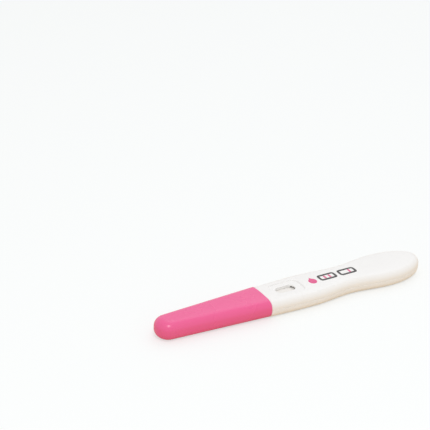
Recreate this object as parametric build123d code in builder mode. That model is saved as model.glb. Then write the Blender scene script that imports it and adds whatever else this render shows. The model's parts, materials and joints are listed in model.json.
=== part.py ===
"""Capped midstream pregnancy test stick: a two-shell housing, its test strip and a pull-off cap.

Millimetres. X runs along the stick with the cap at -X, Y across it and Z up. The origin is in the
middle of the stick, on the surface that it lies on.
"""

from build123d import *
import os

# the whole stick
stick_length = 140.0
cap_length = 53.0

# cap: tapered in plan, rounded at its end, open at its mouth, and a small step larger than the housing
# with the same crown
cap_side_step = 0.2
cap_top_step = 0.6
cap_end_width = 11.5
cap_corner_radius = 6.0
cap_side_flat = 1.0
cap_wall = 1.1
cap_lip_radius = 0.3
cap_lead_in = 0.25

# housing: half widths at the mouth, the bulge beside the window, the waist and the paddle, and the
# radius of its top, which is crowned from side to side
mouth_half_width = 9.0
mouth_flare = 0.05
bulge_half_width = 9.9
waist_half_width = 8.3
paddle_half_width = 10.6
bulge_from_mouth = 24.0
waist_before_middle = 1.5
paddle_from_end = 20.0
housing_height = 8.2
housing_side_flat = 1.8
housing_crown_radius = 80.0
housing_wall = 1.3
parting_bevel = 0.15
shoulder_radius = 0.3
mouth_gap = 0.1

# nose: the narrower end of the housing that the cap slides over
nose_length = 24.0
nose_wall = 1.1
nose_fit = 0.18
nose_side_flat = 1.44
nose_corner_ease = 0.2
bead_height = 0.1
bead_width = 7.0
bead_radius = 0.8
bead_from_mouth = 4.0

# result window: a shallow recess with sloped sides and a round-ended opening in its floor
window_from_mouth = 12.6
window_length = 9.8
window_width = 4.8
window_edge_radius = 0.2
recess_past_window = 0.6
recess_length = 15.6
recess_width = 10.8
recess_corner_radius = 3.0
recess_depth = 0.6
recess_slope = 30.0
recess_edge_radius = 0.25
rail_width = 2.0
rail_length = 7.8
rail_fit = 0.1

# test strip
strip_width = 5.4
strip_headroom = 0.12
card_thickness = 0.3
card_length = 62.0
card_before_mouth = 11.0
membrane_thickness = 0.2
membrane_from_mouth = 2.0
membrane_length = 25.0
pad_overlap = 1.6
pad_slope = 0.5
conjugate_thickness = 0.4
conjugate_reach = 3.0
absorbent_headroom = 0.1

# wick: its tip ends short of the cap's end, and it lies a little above the floor of the nose
wick_width = 8.4
wick_tip_gap = 5.9
wick_bed = 0.82
wick_overlap = 7.0
wick_corner_radius = 2.4
wick_edge_radius = 0.5
slot_fit = 0.2

# bed ribs of the lower shell, notched for the strip and for the wick, and the cross ribs of the paddle
rib_thickness = 0.9
rib_ear_width = 1.0
rib_ear_height = 0.5
bed_fit = 0.15
strip_rib_count = 6
strip_rib_from_mouth = 0.5
strip_rib_before_end = 3.5
wick_rib_spacing = 8.0
wick_rib_count = 2
wick_rib_from_nose = 5.0
paddle_rib_height = 1.6
paddle_rib_spacing = 6.5
paddle_rib_count = 4
paddle_rib_from_end = 29.0

# posts and pins of the upper shell, and their sockets in the lower one
post_diameter = 3.4
pin_diameter = 1.8
pin_reach = 1.6
pin_fit = 0.08
pin_spare_depth = 0.3
pin_bevel = 0.3
pin_from_mouth = 4.5
pin_from_side = 2.9

# what counts as the same place when edges and faces are picked
same_place = 0.01

# places that follow from the sizes above
tip_x = -stick_length / 2
end_x = stick_length / 2
mouth_x = tip_x + cap_length
shoulder_x = mouth_x + mouth_gap
nose_x = mouth_x - nose_length
window_x = mouth_x + window_from_mouth
recess_x = window_x + recess_past_window
bulge_x = mouth_x + bulge_from_mouth
paddle_x = end_x - paddle_from_end
waist_x = (bulge_x + paddle_x) / 2 - waist_before_middle

cap_height = housing_height + cap_top_step
cap_edge_radius = (cap_height - cap_side_flat) / 2
cap_crown_radius = housing_crown_radius + cap_top_step
cap_mouth_width = 2 * (mouth_half_width + cap_side_step)
housing_edge_radius = (housing_height - housing_side_flat) / 2
parting_height = housing_height / 2
recess_floor = housing_height - recess_depth
ceiling = housing_height - housing_wall
nose_bottom = cap_wall + nose_fit
nose_top = cap_height - cap_wall - nose_fit
nose_edge_radius = (nose_top - nose_bottom - nose_side_flat) / 2
nose_corner_radius = nose_edge_radius + nose_corner_ease

card_x = mouth_x - card_before_mouth
card_end = card_x + card_length
card_top = nose_top - nose_wall - strip_headroom - conjugate_thickness
card_bottom = card_top - card_thickness
membrane_x = mouth_x + membrane_from_mouth
membrane_end = membrane_x + membrane_length
membrane_top = card_top + membrane_thickness
conjugate_x = card_x - conjugate_reach
conjugate_end = membrane_x + pad_overlap
absorbent_x = membrane_end - pad_overlap
absorbent_thickness = ceiling - absorbent_headroom - membrane_top
wick_x = tip_x + cap_wall + wick_tip_gap
wick_end = card_x + wick_overlap
wick_bottom = nose_bottom + nose_wall + wick_bed
wick_thickness = card_bottom - wick_bottom

strip_rib_x = mouth_x + strip_rib_from_mouth
strip_rib_spacing = (card_end - strip_rib_before_end - strip_rib_x) / (strip_rib_count - 1)
wick_rib_x = nose_x + wick_rib_from_nose
paddle_rib_x = end_x - paddle_rib_from_end
pin_places = (
    (mouth_x + pin_from_mouth, mouth_half_width - pin_from_side),
    (bulge_x, bulge_half_width - pin_from_side),
    (waist_x, waist_half_width - pin_from_side),
    (paddle_x, paddle_half_width - pin_from_side),
)

os.makedirs("parts", exist_ok=True)


def cap_half_width(x):
    """Half width of the cap's outer side at a place along the stick."""
    share = (x - tip_x) / cap_length
    return (cap_end_width + (cap_mouth_width - cap_end_width) * share) / 2


def tapered_plan(start, end, inset, corner_radius):
    """Plan outline from start to end, parallel to the cap's sides and inset, rounded at its start."""
    with BuildSketch() as plan:
        with BuildLine():
            Polyline(
                (end, -cap_half_width(end) + inset),
                (end, cap_half_width(end) - inset),
                (start, cap_half_width(start) - inset),
                (start, -cap_half_width(start) + inset),
                close=True,
            )
        make_face()
        fillet(plan.vertices().group_by(Axis.X)[0], corner_radius)
    return plan.sketch


def body_plan(start, inset):
    """Plan outline of the body from start to its paddle's rounded end, inset from its sides."""
    with BuildSketch() as plan:
        with BuildLine():
            side = Spline(
                (start, mouth_half_width - inset),
                (bulge_x, bulge_half_width - inset),
                (waist_x, waist_half_width - inset),
                (paddle_x, paddle_half_width - inset),
                tangents=((1, mouth_flare), (1, 0), (1, 0), (1, 0)),
            )
            EllipticalCenterArc(
                (paddle_x, 0), paddle_from_end - inset, paddle_half_width - inset, arc_size=90
            )
            mirror(about=Plane.XZ)
            Line(side @ 0, (start, -mouth_half_width + inset))
        make_face()
    return plan.sketch


def rounded_slab(plan, bottom, top, radius, open_x):
    """A plan outline raised from bottom to top, its rims rounded except at its open end, open_x."""
    with BuildPart() as slab:
        with BuildSketch(Plane.XY.offset(bottom)):
            add(plan)
        extrude(amount=top - bottom)
        levels = slab.edges().group_by(Axis.Z)
        rim = levels[0] + levels[-1]
        fillet(rim.filter_by(lambda edge: abs(edge.center().X - open_x) > same_place), radius)
    return slab.part


def crowned_slab(plan, top, crown_radius, radius, open_x):
    """A plan outline raised from the ground to a crowned top, its rims rounded except at its open end."""
    with BuildPart() as slab:
        with BuildSketch():
            add(plan)
        extrude(amount=top)
        with Locations((0, 0, top - crown_radius)):
            Cylinder(crown_radius, 2 * stick_length, rotation=(0, 90, 0), mode=Mode.INTERSECT)
        crown = slab.faces().sort_by(Axis.Z)[-1]
        rim = crown.edges() + slab.faces().sort_by(Axis.Z)[0].edges()
        fillet(rim.filter_by(lambda edge: abs(edge.center().X - open_x) > same_place), radius)
    return slab.part


def bead_bar(level, outwards, spare):
    """A bar across the nose for its closing bead, its crest just past the level, larger by spare."""
    crest = level + outwards * (bead_height + spare)
    with BuildPart() as bar:
        with Locations((mouth_x - bead_from_mouth, 0, crest - outwards * bead_radius)):
            Cylinder(bead_radius, bead_width + 2 * spare, rotation=(90, 0, 0))
    return bar.part


def notched_rib(x, notch_width, notch_floor):
    """A rib across the lower shell, with a notch in its top edge for the strip or the wick."""
    half_notch = notch_width / 2 + bed_fit
    half_rib = half_notch + rib_ear_width
    with BuildPart() as rib:
        with BuildSketch(Plane.YZ.offset(x)):
            with BuildLine():
                Polyline(
                    (-half_rib, 0),
                    (half_rib, 0),
                    (half_rib, notch_floor + rib_ear_height),
                    (half_notch, notch_floor + rib_ear_height),
                    (half_notch, notch_floor),
                    (-half_notch, notch_floor),
                    (-half_notch, notch_floor + rib_ear_height),
                    (-half_rib, notch_floor + rib_ear_height),
                    close=True,
                )
            make_face()
        extrude(amount=rib_thickness / 2, both=True)
    return rib.part


def strip_layer(outline):
    """A layer of the test strip: its side outline in X and Z, as wide as the strip."""
    with BuildPart() as layer:
        with BuildSketch(Plane.XZ):
            with BuildLine():
                Polyline(*outline, close=True)
            make_face()
        extrude(amount=strip_width / 2, both=True)
    return layer.part


# cap
cap_outside = crowned_slab(
    tapered_plan(tip_x, mouth_x, 0, cap_corner_radius),
    cap_height,
    cap_crown_radius,
    cap_edge_radius,
    mouth_x,
)
cap_inside = rounded_slab(
    tapered_plan(tip_x + cap_wall, mouth_x + cap_wall, cap_wall, cap_corner_radius - cap_wall),
    cap_wall,
    cap_height - cap_wall,
    cap_edge_radius - cap_wall,
    mouth_x + cap_wall,
)
upper_groove = bead_bar(nose_top + nose_fit, 1, bead_height)
lower_groove = bead_bar(nose_bottom - nose_fit, -1, bead_height)

with BuildPart() as cap:
    add(cap_outside)
    add((cap_inside, upper_groove, lower_groove), mode=Mode.SUBTRACT)
    mouth_face = cap.faces().filter_by(Axis.X).sort_by(Axis.X)[-1]
    fillet(mouth_face.outer_wire().edges(), cap_lip_radius)
    mouth_face = cap.faces().filter_by(Axis.X).sort_by(Axis.X)[-1]
    chamfer(mouth_face.inner_wires()[0].edges(), cap_lead_in)

# outer form of the housing: body and nose
body_outside = crowned_slab(
    body_plan(shoulder_x, 0), housing_height, housing_crown_radius, housing_edge_radius, shoulder_x
)
nose_outside = rounded_slab(
    tapered_plan(nose_x, shoulder_x + housing_wall, cap_wall + nose_fit, nose_corner_radius),
    nose_bottom,
    nose_top,
    nose_edge_radius,
    shoulder_x + housing_wall,
)
upper_bead = bead_bar(nose_top, 1, 0)
lower_bead = bead_bar(nose_bottom, -1, 0)

with BuildPart() as housing_form:
    add((body_outside, nose_outside))
    shoulder = housing_form.faces().filter_by(Axis.X).sort_by(Axis.X)[1]
    fillet(shoulder.outer_wire().edges(), shoulder_radius)
    add((upper_bead, lower_bead))

# hollow of the housing
body_inside = rounded_slab(
    body_plan(shoulder_x + housing_wall, housing_wall),
    housing_wall,
    ceiling,
    housing_edge_radius - housing_wall,
    shoulder_x + housing_wall,
)
nose_inside = rounded_slab(
    tapered_plan(
        nose_x + nose_wall,
        shoulder_x + 2 * housing_wall,
        cap_wall + nose_fit + nose_wall,
        nose_corner_radius - nose_wall,
    ),
    nose_bottom + nose_wall,
    nose_top - nose_wall,
    nose_edge_radius - nose_wall,
    shoulder_x + 2 * housing_wall,
)

with BuildPart() as housing_hollow:
    add((body_inside, nose_inside))

# opening in the front of the nose for the wick
with BuildPart() as wick_slot:
    with BuildSketch(Plane.YZ.offset(nose_x + nose_wall + slot_fit)):
        with Locations((0, wick_bottom + wick_thickness / 2)):
            RectangleRounded(wick_width + 2 * slot_fit, wick_thickness + 2 * slot_fit, wick_edge_radius)
    extrude(amount=-(nose_wall + 2 * slot_fit))

# upper shell
with BuildPart() as upper_housing:
    add(housing_form.part)
    split(bisect_by=Plane.XY.offset(parting_height), keep=Keep.TOP)
    chamfer(upper_housing.faces().sort_by(Axis.Z)[0].outer_wire().edges(), parting_bevel)
    with BuildSketch(Plane.XY.offset(housing_height)):
        with Locations((recess_x, 0)):
            RectangleRounded(recess_length, recess_width, recess_corner_radius)
    extrude(amount=-recess_depth, taper=recess_slope, mode=Mode.SUBTRACT)
    top_face = upper_housing.faces().sort_by(Axis.Z)[-1]
    fillet(top_face.inner_wires()[0].edges(), recess_edge_radius)
    add(housing_hollow.part, mode=Mode.SUBTRACT)
    add(wick_slot.part, mode=Mode.SUBTRACT)
    # rails beside the window, just clear of the membrane
    with BuildSketch(Plane.XY.offset(membrane_top + rail_fit)):
        with Locations((window_x, 0)):
            Rectangle(rail_length, window_width + 2 * rail_width)
    extrude(amount=ceiling - membrane_top - rail_fit)
    with BuildSketch(Plane.XY.offset(recess_floor)):
        with Locations((window_x, 0)):
            SlotOverall(window_length, window_width)
    extrude(amount=-(recess_floor - membrane_top), mode=Mode.SUBTRACT)
    flat_faces = upper_housing.faces().filter_by(Axis.Z)
    floor_face = flat_faces.filter_by(lambda face: abs(face.center().Z - recess_floor) < same_place)[0]
    fillet(floor_face.inner_wires()[0].edges(), window_edge_radius)
    # posts and pins
    for x, out in pin_places:
        with BuildSketch(Plane.XY.offset(parting_height)):
            with Locations((x, -out), (x, out)):
                Circle(post_diameter / 2)
        extrude(amount=ceiling - parting_height)
        with BuildSketch(Plane.XY.offset(parting_height)):
            with Locations((x, -out), (x, out)):
                Circle(pin_diameter / 2)
        extrude(amount=-pin_reach)
    pin_ends = upper_housing.faces().group_by(Axis.Z)[0]
    chamfer(pin_ends.edges(), pin_bevel)

# lower shell
strip_ribs = [
    notched_rib(strip_rib_x + i * strip_rib_spacing, strip_width, card_bottom)
    for i in range(strip_rib_count)
]
wick_ribs = [
    notched_rib(wick_rib_x + i * wick_rib_spacing, wick_width, wick_bottom)
    for i in range(wick_rib_count)
]

with BuildPart() as bed_ribs:
    add(strip_ribs + wick_ribs)
    for i in range(paddle_rib_count):
        with Locations((paddle_rib_x + i * paddle_rib_spacing, 0, 0)):
            Box(
                rib_thickness,
                2 * paddle_half_width,
                housing_wall + paddle_rib_height,
                align=(Align.CENTER, Align.CENTER, Align.MIN),
            )
    add(housing_hollow.part, mode=Mode.INTERSECT)

with BuildPart() as lower_housing:
    add(housing_form.part)
    split(bisect_by=Plane.XY.offset(parting_height), keep=Keep.BOTTOM)
    chamfer(lower_housing.faces().sort_by(Axis.Z)[-1].outer_wire().edges(), parting_bevel)
    add(housing_hollow.part, mode=Mode.SUBTRACT)
    add(wick_slot.part, mode=Mode.SUBTRACT)
    add(bed_ribs.part)
    for x, out in pin_places:
        with BuildSketch(Plane.XY.offset(housing_wall)):
            with Locations((x, -out), (x, out)):
                Circle(post_diameter / 2)
        extrude(amount=parting_height - housing_wall)
        with BuildSketch(Plane.XY.offset(parting_height)):
            with Locations((x, -out), (x, out)):
                Circle(pin_diameter / 2 + pin_fit)
        extrude(amount=-(pin_reach + pin_spare_depth), mode=Mode.SUBTRACT)

# wick
with BuildPart() as absorbent_wick:
    with BuildSketch(Plane.XY.offset(wick_bottom)) as wick_plan:
        with Locations((wick_x, 0)):
            Rectangle(wick_end - wick_x, wick_width, align=(Align.MIN, Align.CENTER))
        fillet(wick_plan.vertices().group_by(Axis.X)[0], wick_corner_radius)
    extrude(amount=wick_thickness)
    wick_levels = absorbent_wick.edges().group_by(Axis.Z)
    wick_rim = wick_levels[0] + wick_levels[-1]
    fillet(wick_rim.filter_by(lambda edge: wick_end - edge.center().X > same_place), wick_edge_radius)

# layers of the test strip
backing_card = strip_layer(
    ((card_x, card_bottom), (card_end, card_bottom), (card_end, card_top), (card_x, card_top))
)
test_membrane = strip_layer(
    (
        (membrane_x, card_top),
        (membrane_end, card_top),
        (membrane_end, membrane_top),
        (membrane_x, membrane_top),
    )
)
conjugate_pad = strip_layer(
    (
        (conjugate_x, card_bottom),
        (card_x, card_bottom),
        (card_x, card_top),
        (membrane_x, card_top),
        (membrane_x, membrane_top),
        (conjugate_end, membrane_top),
        (conjugate_end, membrane_top + conjugate_thickness),
        (membrane_x, membrane_top + conjugate_thickness),
        (membrane_x - pad_slope, card_top + conjugate_thickness),
        (card_x, card_top + conjugate_thickness),
        (card_x - pad_slope, card_bottom + conjugate_thickness),
        (conjugate_x, card_bottom + conjugate_thickness),
    )
)
absorbent_pad = strip_layer(
    (
        (absorbent_x, membrane_top),
        (membrane_end, membrane_top),
        (membrane_end, card_top),
        (card_end, card_top),
        (card_end, card_top + absorbent_thickness),
        (membrane_end + pad_slope, card_top + absorbent_thickness),
        (membrane_end, membrane_top + absorbent_thickness),
        (absorbent_x, membrane_top + absorbent_thickness),
    )
)

cap.part.label = "cap"
export_step(cap.part, "parts/cap.step")
upper_housing.part.label = "upper_housing"
export_step(upper_housing.part, "parts/upper_housing.step")
lower_housing.part.label = "lower_housing"
export_step(lower_housing.part, "parts/lower_housing.step")
absorbent_wick.part.label = "absorbent_wick"
export_step(absorbent_wick.part, "parts/absorbent_wick.step")
backing_card.label = "backing_card"
export_step(backing_card, "parts/backing_card.step")
test_membrane.label = "test_membrane"
export_step(test_membrane, "parts/test_membrane.step")
conjugate_pad.label = "conjugate_pad"
export_step(conjugate_pad, "parts/conjugate_pad.step")
absorbent_pad.label = "absorbent_pad"
export_step(absorbent_pad, "parts/absorbent_pad.step")
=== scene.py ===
"""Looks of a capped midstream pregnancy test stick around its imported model.

Metres. X runs along the stick with the cap at -X, Y across it and Z up.
The stick lies on the floor at Z = 0.
"""

import json
import logging
import math
from dataclasses import dataclass
from enum import Enum
from typing import Any

import bpy
from mathutils import Matrix, Vector

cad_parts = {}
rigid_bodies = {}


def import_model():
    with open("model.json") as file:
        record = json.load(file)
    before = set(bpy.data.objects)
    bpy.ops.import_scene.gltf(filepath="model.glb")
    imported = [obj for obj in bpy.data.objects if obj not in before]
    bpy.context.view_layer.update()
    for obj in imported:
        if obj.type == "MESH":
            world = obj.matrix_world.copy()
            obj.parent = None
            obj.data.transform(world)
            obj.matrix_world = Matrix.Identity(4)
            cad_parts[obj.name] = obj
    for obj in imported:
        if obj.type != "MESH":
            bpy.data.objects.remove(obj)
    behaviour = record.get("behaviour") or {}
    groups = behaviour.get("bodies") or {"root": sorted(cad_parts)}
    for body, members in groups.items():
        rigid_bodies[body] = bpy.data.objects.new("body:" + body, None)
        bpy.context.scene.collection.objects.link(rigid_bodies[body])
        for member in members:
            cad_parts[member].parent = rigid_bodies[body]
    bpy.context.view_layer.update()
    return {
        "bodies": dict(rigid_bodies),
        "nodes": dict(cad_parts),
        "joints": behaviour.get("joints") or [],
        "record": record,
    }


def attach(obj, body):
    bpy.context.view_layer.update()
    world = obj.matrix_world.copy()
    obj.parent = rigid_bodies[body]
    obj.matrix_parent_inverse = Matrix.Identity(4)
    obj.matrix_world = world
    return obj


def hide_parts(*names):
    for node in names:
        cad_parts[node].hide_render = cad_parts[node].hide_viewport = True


MM = 0.001
PHOTO_PIXELS = 430
SENSOR_WIDTH_MM = 36.0
# numbered sockets of a Mix node that mixes colours
MIX_SHARE = 0
MIX_FIRST = 6
MIX_SECOND = 7
MIX_RESULT = 2

log =logging.getLogger("stick")


def linear(hex_colour: str) -> tuple[float, float, float, float]:
    """Turn an sRGB hex colour into linear RGBA.

    Args:
        hex_colour: The colour as "#rrggbb".

    Returns:
        Linear red, green, blue and an alpha of 1.
    """
    channels = [int(hex_colour[i:i + 2], 16) / 255 for i in (1, 3, 5)]
    red, green, blue = (c / 12.92 if c <= 0.04045 else ((c + 0.055) / 1.055) ** 2.4 for c in channels)
    return (red, green, blue, 1.0)


def add_node(
    tree: bpy.types.NodeTree,
    kind: str,
    settings: dict[str, Any] | None = None,
    values: dict[str | int, Any] | None = None,
    links: dict[str | int, bpy.types.NodeSocket] | None = None,
) -> bpy.types.Node:
    """Add a node with its settings, socket values and incoming links.

    Args:
        tree: The node tree that gets the node.
        kind: The node's type, such as "ShaderNodeTexNoise".
        settings: Properties of the node itself.
        values: Default values of input sockets, by name or number.
        links: Output sockets to link to input sockets, by the input's name or number.

    Returns:
        The new node.
    """
    node = tree.nodes.new(kind)
    for name, value in (settings or {}).items():
        setattr(node, name, value)
    for socket, value in (values or {}).items():
        node.inputs[socket].default_value = value
    for socket, source in (links or {}).items():
        tree.links.new(source, node.inputs[socket])
    return node


def new_material(name: str) -> tuple[bpy.types.Material, bpy.types.NodeTree, bpy.types.Node]:
    """Make an empty node material.

    Args:
        name: The material's name.

    Returns:
        The material, its node tree and its Material Output node.
    """
    material = bpy.data.materials.new(name)
    material.use_nodes = True
    tree = material.node_tree
    tree.nodes.clear()
    output = add_node(tree, "ShaderNodeOutputMaterial")
    return material, tree, output


def seen_rays(tree: bpy.types.NodeTree) -> bpy.types.NodeSocket:
    """Tell the rays that look at a surface from those that light the stick by it.

    Args:
        tree: The node tree that gets the nodes.

    Returns:
        The socket that is 1 for camera, glossy and transmission rays and 0 for the rest.
    """
    ray = add_node(tree, "ShaderNodeLightPath")
    straight = add_node(
        tree, "ShaderNodeMath",
        settings={"operation": "MAXIMUM"},
        links={0: ray.outputs["Is Camera Ray"], 1: ray.outputs["Is Glossy Ray"]},
    )
    seen = add_node(
        tree, "ShaderNodeMath",
        settings={"operation": "MAXIMUM"},
        links={0: straight.outputs["Value"], 1: ray.outputs["Is Transmission Ray"]},
    )
    return seen.outputs["Value"]


def per_metre(size_mm: float) -> float:
    """Turn the size of a texture's features into the texture's scale.

    Args:
        size_mm: How far apart the features are, in mm.

    Returns:
        The scale, in features to the metre.
    """
    return 1 / (size_mm * MM)


def blend(
    tree: bpy.types.NodeTree, first: str, second: str, share: bpy.types.NodeSocket
) -> bpy.types.NodeSocket:
    """Mix two colours over a surface.

    Args:
        tree: The material's node tree.
        first: The colour where the share is 0, as "#rrggbb".
        second: The colour where the share is 1, as "#rrggbb".
        share: The socket that gives the second colour's share.

    Returns:
        The socket that gives the mixed colour.
    """
    mix = add_node(
        tree, "ShaderNodeMix",
        settings={"data_type": "RGBA"},
        values={MIX_FIRST: linear(first), MIX_SECOND: linear(second)},
        links={MIX_SHARE: share},
    )
    return mix.outputs[MIX_RESULT]


class Grain(Enum):
    """How a moulded surface was left by its mould."""

    POLISHED = "polished"
    SPARKED = "sparked"


@dataclass(frozen=True)
class MouldedPlastic:
    """A moulded plastic: one dye through and through, a satin skin and the mould's own faint grain.

    The eye gets a clean even colour, a soft highlight that breaks up a little along it, and slow
    changes of gloss where the melt flowed.
    """

    name: str
    colour: str
    flow_colour: str
    roughness: float
    roughness_spread: float
    grain: Grain
    grain_mm: float
    grain_depth_mm: float
    flow_mm: float

    def build(self) -> bpy.types.Material:
        """Make the material."""
        material, tree, output = new_material(self.name)
        place = add_node(tree, "ShaderNodeTexCoord").outputs["Object"]
        flow = add_node(
            tree, "ShaderNodeTexNoise",
            values={"Scale": per_metre(self.flow_mm), "Detail": 3.0, "Roughness": 0.5, "Distortion": 0.6},
            links={"Vector": place},
        )
        roughness = add_node(
            tree, "ShaderNodeMapRange",
            values={
                "From Min": 0.25, "From Max": 0.75,
                "To Min": self.roughness - self.roughness_spread,
                "To Max": self.roughness + self.roughness_spread,
            },
            links={"Value": flow.outputs["Fac"]},
        )
        bump = add_node(
            tree, "ShaderNodeBump",
            values={"Strength": 1.0, "Distance": self.grain_depth_mm * MM},
            links={"Height": self.pebble(tree, place)},
        )
        shader = add_node(
            tree, "ShaderNodeBsdfPrincipled",
            values={"IOR": 1.49},
            links={
                "Base Color": blend(tree, self.colour, self.flow_colour, flow.outputs["Fac"]),
                "Roughness": roughness.outputs["Result"],
                "Normal": bump.outputs["Normal"],
            },
        )
        tree.links.new(shader.outputs["BSDF"], output.inputs["Surface"])
        return material

    def pebble(self, tree: bpy.types.NodeTree, place: bpy.types.NodeSocket) -> bpy.types.NodeSocket:
        """Add the height of the mould's grain.

        Args:
            tree: The material's node tree.
            place: The coordinates that the grain follows.

        Returns:
            The socket that gives the height, from 0 to 1.
        """
        if self.grain is Grain.SPARKED:
            pits = add_node(
                tree, "ShaderNodeTexVoronoi",
                settings={"feature": "SMOOTH_F1"},
                values={"Scale": per_metre(self.grain_mm), "Smoothness": 0.6, "Randomness": 1.0},
                links={"Vector": place},
            )
            return pits.outputs["Distance"]
        ripple = add_node(
            tree, "ShaderNodeTexNoise",
            values={"Scale": per_metre(self.grain_mm), "Detail": 2.0, "Roughness": 0.4},
            links={"Vector": place},
        )
        return ripple.outputs["Fac"]


@dataclass(frozen=True)
class FibreSheet:
    """A porous sheet of fibres: matt all over, with small flecks of shade between the fibres.

    The eye gets a dry chalky white or tint with no highlight, and a faint tangle of fibres close up.
    """

    name: str
    colour: str
    shade_colour: str
    fibre_mm: float
    fibre_length: float
    depth_mm: float
    sheen: float

    def build(self) -> bpy.types.Material:
        """Make the material."""
        material, tree, output = new_material(self.name)
        place = add_node(tree, "ShaderNodeTexCoord").outputs["Object"]
        drawn_out = add_node(
            tree, "ShaderNodeMapping",
            values={"Scale": (1 / self.fibre_length, 1.0, 1.0)},
            links={"Vector": place},
        )
        fibres = add_node(
            tree, "ShaderNodeTexNoise",
            values={"Scale": per_metre(self.fibre_mm), "Detail": 6.0, "Roughness": 0.65, "Distortion": 1.2},
            links={"Vector": drawn_out.outputs["Vector"]},
        )
        spread = add_node(
            tree, "ShaderNodeMapRange",
            values={"From Min": 0.3, "From Max": 0.7},
            links={"Value": fibres.outputs["Fac"]},
        )
        bump = add_node(
            tree, "ShaderNodeBump",
            values={"Strength": 1.0, "Distance": self.depth_mm * MM},
            links={"Height": fibres.outputs["Fac"]},
        )
        shader = add_node(
            tree, "ShaderNodeBsdfPrincipled",
            values={"Roughness": 0.95, "Specular IOR Level": 0.2, "Sheen Weight": self.sheen},
            links={
                "Base Color": blend(tree, self.shade_colour, self.colour, spread.outputs["Result"]),
                "Normal": bump.outputs["Normal"],
            },
        )
        tree.links.new(shader.outputs["BSDF"], output.inputs["Surface"])
        return material


@dataclass(frozen=True)
class PadInk:
    """A pad-printed ink film: one flat colour, a little glossier than the plastic and thin at its edges.

    The eye gets a crisp dark or pink mark with small pinholes of lighter tone where the film is thin.
    """

    name: str
    colour: str
    thin_colour: str
    pinhole_mm: float

    def build(self) -> bpy.types.Material:
        """Make the material."""
        material, tree, output = new_material(self.name)
        place = add_node(tree, "ShaderNodeTexCoord").outputs["Object"]
        film = add_node(
            tree, "ShaderNodeTexNoise",
            values={"Scale": per_metre(self.pinhole_mm), "Detail": 3.0, "Roughness": 0.6},
            links={"Vector": place},
        )
        thin = add_node(
            tree, "ShaderNodeMapRange",
            values={"From Min": 0.58, "From Max": 0.72},
            links={"Value": film.outputs["Fac"]},
        )
        shader = add_node(
            tree, "ShaderNodeBsdfPrincipled",
            values={"Roughness": 0.35, "IOR": 1.5},
            links={"Base Color": blend(tree, self.colour, self.thin_colour, thin.outputs["Result"])},
        )
        tree.links.new(shader.outputs["BSDF"], output.inputs["Surface"])
        return material


@dataclass(frozen=True)
class StudioFloor:
    """A plain matt sheet that the camera sees near white and that throws warm light back on the stick.

    The eye gets an even near-white ground with the stick's soft thin shadow on it.
    """

    name: str
    paper_colour: str
    glow_colour: str
    glow_share: float
    bounce_colour: str

    def build(self) -> bpy.types.Material:
        """Make the material."""
        material, tree, output = new_material(self.name)
        paper = add_node(tree, "ShaderNodeBsdfDiffuse", values={"Color": linear(self.paper_colour)})
        glow = add_node(
            tree, "ShaderNodeEmission",
            values={"Color": linear(self.glow_colour), "Strength": 1.0},
        )
        bounce = add_node(tree, "ShaderNodeBsdfDiffuse", values={"Color": linear(self.bounce_colour)})
        ray = add_node(tree, "ShaderNodeLightPath")
        looked_at = add_node(
            tree, "ShaderNodeMixShader",
            values={0: self.glow_share},
            links={1: paper.outputs["BSDF"], 2: glow.outputs["Emission"]},
        )
        surface = add_node(
            tree, "ShaderNodeMixShader",
            links={
                0: ray.outputs["Is Camera Ray"],
                1: bounce.outputs["BSDF"],
                2: looked_at.outputs["Shader"],
            },
        )
        tree.links.new(surface.outputs["Shader"], output.inputs["Surface"])
        return material


# polypropylene moulded in a polished mould: even pink with a broad waxy highlight
CAP_PLASTIC = MouldedPlastic(
    name="polypropylene_moulded_pink",
    colour="#ea5c93",
    flow_colour="#ec5f96",
    roughness=0.27,
    roughness_spread=0.02,
    grain=Grain.POLISHED,
    grain_mm=1.6,
    grain_depth_mm=0.004,
    flow_mm=14.0,
)
# polystyrene moulded in a spark-eroded mould: milky white with a satin skin of tiny pits
HOUSING_PLASTIC = MouldedPlastic(
    name="polystyrene_moulded_white",
    colour="#efedeb",
    flow_colour="#f1f0ee",
    roughness=0.32,
    roughness_spread=0.03,
    grain=Grain.SPARKED,
    grain_mm=0.25,
    grain_depth_mm=0.003,
    flow_mm=18.0,
)
# polyester fibres bonded side by side along the wick: soft white with lengthwise streaks
WICK_FIBRE = FibreSheet(
    name="polyester_bonded_fibre",
    colour="#f5f4f0",
    shade_colour="#dcd9d1",
    fibre_mm=0.35,
    fibre_length=8.0,
    depth_mm=0.12,
    sheen=0.2,
)
# polystyrene card: smooth and plain, mostly hidden under the strip's layers
CARD_PLASTIC = MouldedPlastic(
    name="polystyrene_card_white",
    colour="#f0f0ee",
    flow_colour="#f3f3f1",
    roughness=0.5,
    roughness_spread=0.03,
    grain=Grain.POLISHED,
    grain_mm=0.8,
    grain_depth_mm=0.002,
    flow_mm=8.0,
)
# glass fibre dyed with the test's red reagent: dusty rose, matt and slightly uneven
CONJUGATE_FIBRE = FibreSheet(
    name="glass_fibre_dyed",
    colour="#c99aa0",
    shade_colour="#a8707a",
    fibre_mm=0.2,
    fibre_length=2.0,
    depth_mm=0.05,
    sheen=0.1,
)
# cast nitrocellulose: chalk white and the smoothest of the strip's layers
MEMBRANE = FibreSheet(
    name="nitrocellulose_cast",
    colour="#f3f0ec",
    shade_colour="#ebe7e2",
    fibre_mm=0.15,
    fibre_length=1.0,
    depth_mm=0.008,
    sheen=0.0,
)
# cotton linter paper: thick, soft and cloudy
PAD_PAPER = FibreSheet(
    name="cotton_linter_paper",
    colour="#f2f0eb",
    shade_colour="#e2dfd7",
    fibre_mm=0.3,
    fibre_length=1.5,
    depth_mm=0.05,
    sheen=0.1,
)
# solvent ink laid by a soft pad: dense grey that is almost black
DARK_INK = PadInk(name="pad_ink_dark", colour="#33302f", thin_colour="#4a4644", pinhole_mm=0.5)
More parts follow.
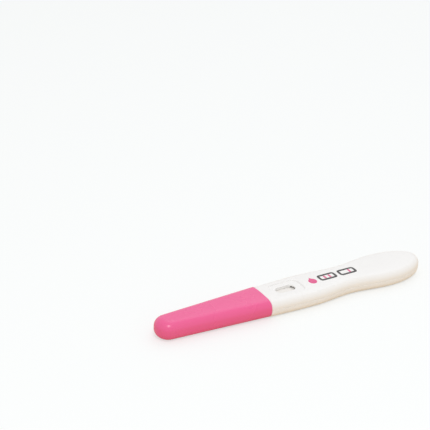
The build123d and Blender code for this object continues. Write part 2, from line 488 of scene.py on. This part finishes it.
# the same ink in the cap's pink
PINK_INK = PadInk(name="pad_ink_pink", colour="#dd4f86", thin_colour="#e27ba3", pinhole_mm=0.5)
# matt paper sweep: near white to the eye, with a warm tone in the light that it throws back
FLOOR_PAPER = StudioFloor(
    name="studio_paper",
    paper_colour="#fcfdfd",
    glow_colour="#fafcfb",
    glow_share=0.6,
    bounce_colour="#eedabd",
)


def deselect_all() -> None:
    """Leave edit mode and deselect every object."""
    if bpy.context.object and bpy.context.object.mode != "OBJECT":
        bpy.ops.object.mode_set(mode="OBJECT")
    bpy.ops.object.select_all(action="DESELECT")


def pick(piece: bpy.types.Object) -> None:
    """Make a piece the active object and the only selected one.

    Args:
        piece: The piece to pick.
    """
    deselect_all()
    piece.select_set(True)
    bpy.context.view_layer.objects.active = piece


def settle(piece: bpy.types.Object) -> None:
    """Put a piece's place, turn and scale into its mesh, so that its object sits at the origin.

    Args:
        piece: The piece to settle. It is picked afterwards.
    """
    pick(piece)
    bpy.ops.object.transform_apply(location=True, rotation=True, scale=True)


def join(pieces: list[bpy.types.Object], name: str) -> bpy.types.Object:
    """Join several meshes into one piece.

    Args:
        pieces: The meshes, all at the origin.
        name: The name of the joined piece.

    Returns:
        The joined piece.
    """
    deselect_all()
    for piece in pieces:
        piece.select_set(True)
    bpy.context.view_layer.objects.active = pieces[0]
    bpy.ops.object.join()
    joined = bpy.context.object
    joined.name = name
    return joined


def dress(piece: bpy.types.Object, material: bpy.types.Material) -> None:
    """Give a piece one material in place of what it has.

    Args:
        piece: The piece to dress.
        material: Its new material.
    """
    piece.data.materials.clear()
    piece.data.materials.append(material)


@dataclass
class MouldedShell:
    """A moulded piece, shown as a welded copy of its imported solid.

    The weld joins its loose triangles, so that its rounded faces shade smoothly.
    """

    node: str
    body: str
    slot: str
    finish: MouldedPlastic
    sharp_angle: float = math.radians(28)
    weld_distance: float = 0.002 * MM

    def build(self, frame: dict[str, Any]) -> bpy.types.Object:
        """Copy the node, weld its loose triangles, shade it and let it stand for the node.

        Args:
            frame: The loaded frame.

        Returns:
            The finished piece.
        """
        source = frame["nodes"][self.node]
        piece = bpy.data.objects.new(f"{self.node}_shell", source.data.copy())
        bpy.context.scene.collection.objects.link(piece)
        pick(piece)
        bpy.ops.mesh.customdata_custom_splitnormals_clear()
        bpy.ops.object.mode_set(mode="EDIT")
        bpy.ops.mesh.select_all(action="SELECT")
        bpy.ops.mesh.remove_doubles(threshold=self.weld_distance)
        bpy.ops.object.mode_set(mode="OBJECT")
        bpy.ops.object.shade_smooth_by_angle(angle=self.sharp_angle)
        weighted = piece.modifiers.new("even_normals", "WEIGHTED_NORMAL")
        weighted.mode = "FACE_AREA"
        weighted.keep_sharp = True
        bpy.ops.object.modifier_apply(modifier=weighted.name)
        dress(piece, self.finish.build())
        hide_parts(self.node)
        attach(piece, self.body)
        log.info("%s: %d faces", piece.name, len(piece.data.polygons))
        return piece


@dataclass
class ResultKey:
    """A generic key printed on the housing: a drop, then a window with two lines and one with one line.

    Each ink is a thin film that lies on the crowned top, its underside just inside the plastic.
    All sizes are in mm.
    """

    surface: str = "upper_housing_shell"
    body: str = "stick"
    drop_x: float = 9.9
    drop_width: float = 4.0
    drop_height: float = 5.6
    drop_tip: float = 1.5
    drop_tip_spread: float = 0.2
    drop_smoothness: int = 12
    window_xs: tuple[float, float] = (18.3, 29.3)
    window_length: float = 9.4
    window_width: float = 5.0
    window_corner: float = 1.5
    corner_segments: int = 8
    rim_width: float = 1.2
    line_width: float = 1.0
    line_gap: float = 0.15
    line_offsets: tuple[tuple[float, ...], tuple[float, ...]] = ((-1.3, 1.3), (1.3,))
    strip_width: float = 0.6
    film_top: float = 0.02
    film_thickness: float = 0.035
    start_level: float = 9.5

    def build(self) -> None:
        """Print the dark windows, then the pink drop and lines."""
        rims = [self.rim(x) for x in self.window_xs]
        lines = [
            self.line(x + offset)
            for x, offsets in zip(self.window_xs, self.line_offsets)
            for offset in offsets
        ]
        self.lay(join(rims, "key_windows"), DARK_INK)
        self.lay(join([self.drop(), *lines], "key_drop_and_lines"), PINK_INK)

    def sheet(self, x: float, length: float, width: float) -> bpy.types.Object:
        """A flat rectangle above the housing.

        Args:
            x: Its middle along the stick, in mm.
            length: Its size along the stick, in mm.
            width: Its size across the stick, in mm.

        Returns:
            The flat mesh, at the origin.
        """
        deselect_all()
        bpy.ops.mesh.primitive_plane_add(size=MM, location=(x * MM, 0, self.start_level * MM))
        flat = bpy.context.object
        flat.scale = (length, width, 1)
        settle(flat)
        return flat

    def rim(self, x: float) -> bpy.types.Object:
        """A window's rounded rim.

        Args:
            x: Its middle along the stick, in mm.

        Returns:
            The flat mesh, at the origin.
        """
        flat = self.sheet(x, self.window_length, self.window_width)
        bpy.ops.object.mode_set(mode="EDIT")
        bpy.ops.mesh.select_all(action="SELECT")
        bpy.ops.mesh.bevel(
            offset=self.window_corner * MM, segments=self.corner_segments, affect="VERTICES"
        )
        bpy.ops.mesh.select_all(action="SELECT")
        bpy.ops.mesh.inset(thickness=self.rim_width * MM)
        bpy.ops.mesh.delete(type="FACE")
        bpy.ops.object.mode_set(mode="OBJECT")
        return flat

    def line(self, x: float) -> bpy.types.Object:
        """A line across a window, its ends just clear of the rim.

        Args:
            x: Its middle along the stick, in mm.

        Returns:
            The flat mesh, at the origin.
        """
        width = self.window_width - 2 * self.rim_width - 2 * self.line_gap
        return self.sheet(x, self.line_width, width)

    def drop(self) -> bpy.types.Object:
        """A drop with its tip towards the far side of the stick.

        Returns:
            The flat mesh, at the origin.
        """
        deselect_all()
        middle_y = (self.drop_width - self.drop_height) / 2
        bpy.ops.curve.primitive_bezier_circle_add(
            radius=self.drop_width / 2 * MM,
            location=(self.drop_x * MM, middle_y * MM, self.start_level * MM),
        )
        outline = bpy.context.object
        outline.data.dimensions = "2D"
        outline.data.fill_mode = "BOTH"
        outline.data.resolution_u = self.drop_smoothness
        tip = max(outline.data.splines[0].bezier_points, key=lambda point: point.co.y)
        tip.handle_left_type = "FREE"
        tip.handle_right_type = "FREE"
        tip.co.y += (self.drop_height - self.drop_width) * MM
        tip.handle_left = tip.co + Vector((-self.drop_tip_spread, -self.drop_tip, 0)) * MM
        tip.handle_right = tip.co + Vector((self.drop_tip_spread, -self.drop_tip, 0)) * MM
        pick(outline)
        bpy.ops.object.convert(target="MESH")
        mark = bpy.context.object
        settle(mark)
        return mark

    def lay(self, film: bpy.types.Object, ink: PadInk) -> None:
        """Cut a film into strips across the stick, drop it on the housing and give it its thickness.

        Args:
            film: The flat mesh above the housing.
            ink: Its finish.
        """
        pick(film)
        bpy.ops.object.mode_set(mode="EDIT")
        cuts = int(self.drop_height / 2 / self.strip_width)
        for step in range(-cuts, cuts + 1):
            bpy.ops.mesh.select_all(action="SELECT")
            bpy.ops.mesh.bisect(plane_co=(0, step * self.strip_width * MM, 0), plane_no=(0, 1, 0))
        bpy.ops.object.mode_set(mode="OBJECT")
        wrap = film.modifiers.new("on_the_crown", "SHRINKWRAP")
        wrap.target = bpy.data.objects[self.surface]
        wrap.wrap_method = "PROJECT"
        wrap.use_project_z = True
        wrap.use_negative_direction = True
        wrap.use_positive_direction = False
        wrap.offset = self.film_top * MM
        thick = film.modifiers.new("film", "SOLIDIFY")
        thick.thickness = self.film_thickness * MM
        thick.offset = -1
        bpy.ops.object.modifier_apply(modifier=wrap.name)
        bpy.ops.object.modifier_apply(modifier=thick.name)
        dress(film, ink.build())
        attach(film, self.body)
        log.info("%s: %d faces", film.name, len(film.data.polygons))


@dataclass
class TestStrip:
    """The layered strip and the wick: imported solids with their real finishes."""

    finishes: tuple[tuple[str, MouldedPlastic | FibreSheet], ...] = (
        ("absorbent_wick", WICK_FIBRE),
        ("backing_card", CARD_PLASTIC),
        ("conjugate_pad", CONJUGATE_FIBRE),
        ("test_membrane", MEMBRANE),
        ("absorbent_pad", PAD_PAPER),
    )

    def build(self, frame: dict[str, Any]) -> None:
        """Dress each layer.

        Args:
            frame: The loaded frame.
        """
        for node, finish in self.finishes:
            dress(frame["nodes"][node], finish.build())
            log.info("%s: %s", node, finish.name)


@dataclass
class PhotoCamera:
    """The camera at the photograph's viewing angle, as fitted to the stick and the frame of the picture."""

    place: tuple[float, float, float] = (-0.28457, -0.38915, 0.28049)
    heading: float = math.radians(31.83)
    pitch: float = math.radians(26.434)
    roll: float = math.radians(-2.572)
    focal_pixels: float = 1233.84
    nearest: float = 0.01
    farthest: float = 20.0

    def build(self) -> None:
        """Make the camera and set it as the scene's."""
        data = bpy.data.cameras.new("photo_camera")
        data.sensor_width = SENSOR_WIDTH_MM
        data.lens = self.focal_pixels / PHOTO_PIXELS * SENSOR_WIDTH_MM
        data.clip_start = self.nearest
        data.clip_end = self.farthest
        right = Vector((math.cos(self.heading), -math.sin(self.heading), 0))
        forward = Vector((
            math.sin(self.heading) * math.cos(self.pitch),
            math.cos(self.heading) * math.cos(self.pitch),
            -math.sin(self.pitch),
        ))
        down = forward.cross(right)
        turned_right = right * math.cos(self.roll) + down * math.sin(self.roll)
        turned_up = right * math.sin(self.roll) - down * math.cos(self.roll)
        camera = bpy.data.objects.new("photo_camera", data)
        bpy.context.scene.collection.objects.link(camera)
        turn = Matrix((turned_right, turned_up, -forward)).transposed()
        camera.matrix_world = Matrix.Translation(Vector(self.place)) @ turn.to_4x4()
        bpy.context.scene.camera = camera


@dataclass(frozen=True)
class Softbox:
    """One area lamp: where it stands, what it points at, its size, power and colour."""

    name: str
    place: tuple[float, float, float]
    target: tuple[float, float, float]
    width: float
    depth: float
    power: float
    colour: str

    def build(self) -> None:
        """Make the lamp."""
        data = bpy.data.lights.new(self.name, "AREA")
        data.shape = "RECTANGLE"
        data.size = self.width
        data.size_y = self.depth
        data.energy = self.power
        data.color = linear(self.colour)[:3]
        lamp = bpy.data.objects.new(self.name, data)
        bpy.context.scene.collection.objects.link(lamp)
        aim = Vector(self.target) - Vector(self.place)
        turn = aim.to_track_quat("-Z", "Y").to_matrix().to_4x4()
        lamp.matrix_world = Matrix.Translation(Vector(self.place)) @ turn


@dataclass
class Studio:
    """The paper floor, the soft lamps and the even light round them."""

    floor_width: float = 6.0
    sky_colour: str = "#ffffff"
    sky_strength: float = 0.72
    lamps: tuple[Softbox, ...] = (
        Softbox(
            name="key_softbox",
            place=(-0.215, -0.44, 0.88),
            target=(-0.06, 0.0, 0.0),
            width=0.24,
            depth=0.24,
            power=2.7,
            colour="#ffffff",
        ),
        Softbox(
            name="back_softbox",
            place=(0.46, 0.36, 0.81),
            target=(0.0, 0.0, 0.0),
            width=0.65,
            depth=0.65,
            power=1.15,
            colour="#f4f7ff",
        ),
    )

    def build(self) -> None:
        """Make the floor, the lamps and the world."""
        self.build_floor()
        self.build_world()
        for lamp in self.lamps:
            lamp.build()

    def build_floor(self) -> None:
        """Lay the floor under the stick."""
        deselect_all()
        bpy.ops.mesh.primitive_plane_add(size=self.floor_width)
        floor = bpy.context.object
        floor.name = "studio_floor"
        dress(floor, FLOOR_PAPER.build())

    def build_world(self) -> None:
        """Light the stick evenly from all round, and show white wherever the floor ends."""
        world = bpy.data.worlds.new("studio_world")
        world.use_nodes = True
        bpy.context.scene.world = world
        tree = world.node_tree
        tree.nodes.clear()
        strength = add_node(
            tree, "ShaderNodeMapRange",
            values={"To Min": self.sky_strength, "To Max": 1.0},
            links={"Value": seen_rays(tree)},
        )
        sky = add_node(
            tree, "ShaderNodeBackground",
            values={"Color": linear(self.sky_colour)},
            links={"Strength": strength.outputs["Result"]},
        )
        add_node(tree, "ShaderNodeOutputWorld", links={"Surface": sky.outputs["Background"]})


def main() -> None:
    """Build every piece around the frame."""
    logging.basicConfig(level=logging.INFO, format="%(name)s: %(message)s")
    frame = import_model()

    MouldedShell("cap", "cap", "cap_plastic", CAP_PLASTIC).build(frame)
    MouldedShell("upper_housing", "stick", "housing_plastic", HOUSING_PLASTIC).build(frame)
    MouldedShell("lower_housing", "stick", "housing_plastic", HOUSING_PLASTIC).build(frame)
    ResultKey().build()
    TestStrip().build(frame)
    Studio().build()
    PhotoCamera().build()
    bpy.context.scene.view_settings.view_transform = "Standard"


if __name__ == "__main__":
    main()
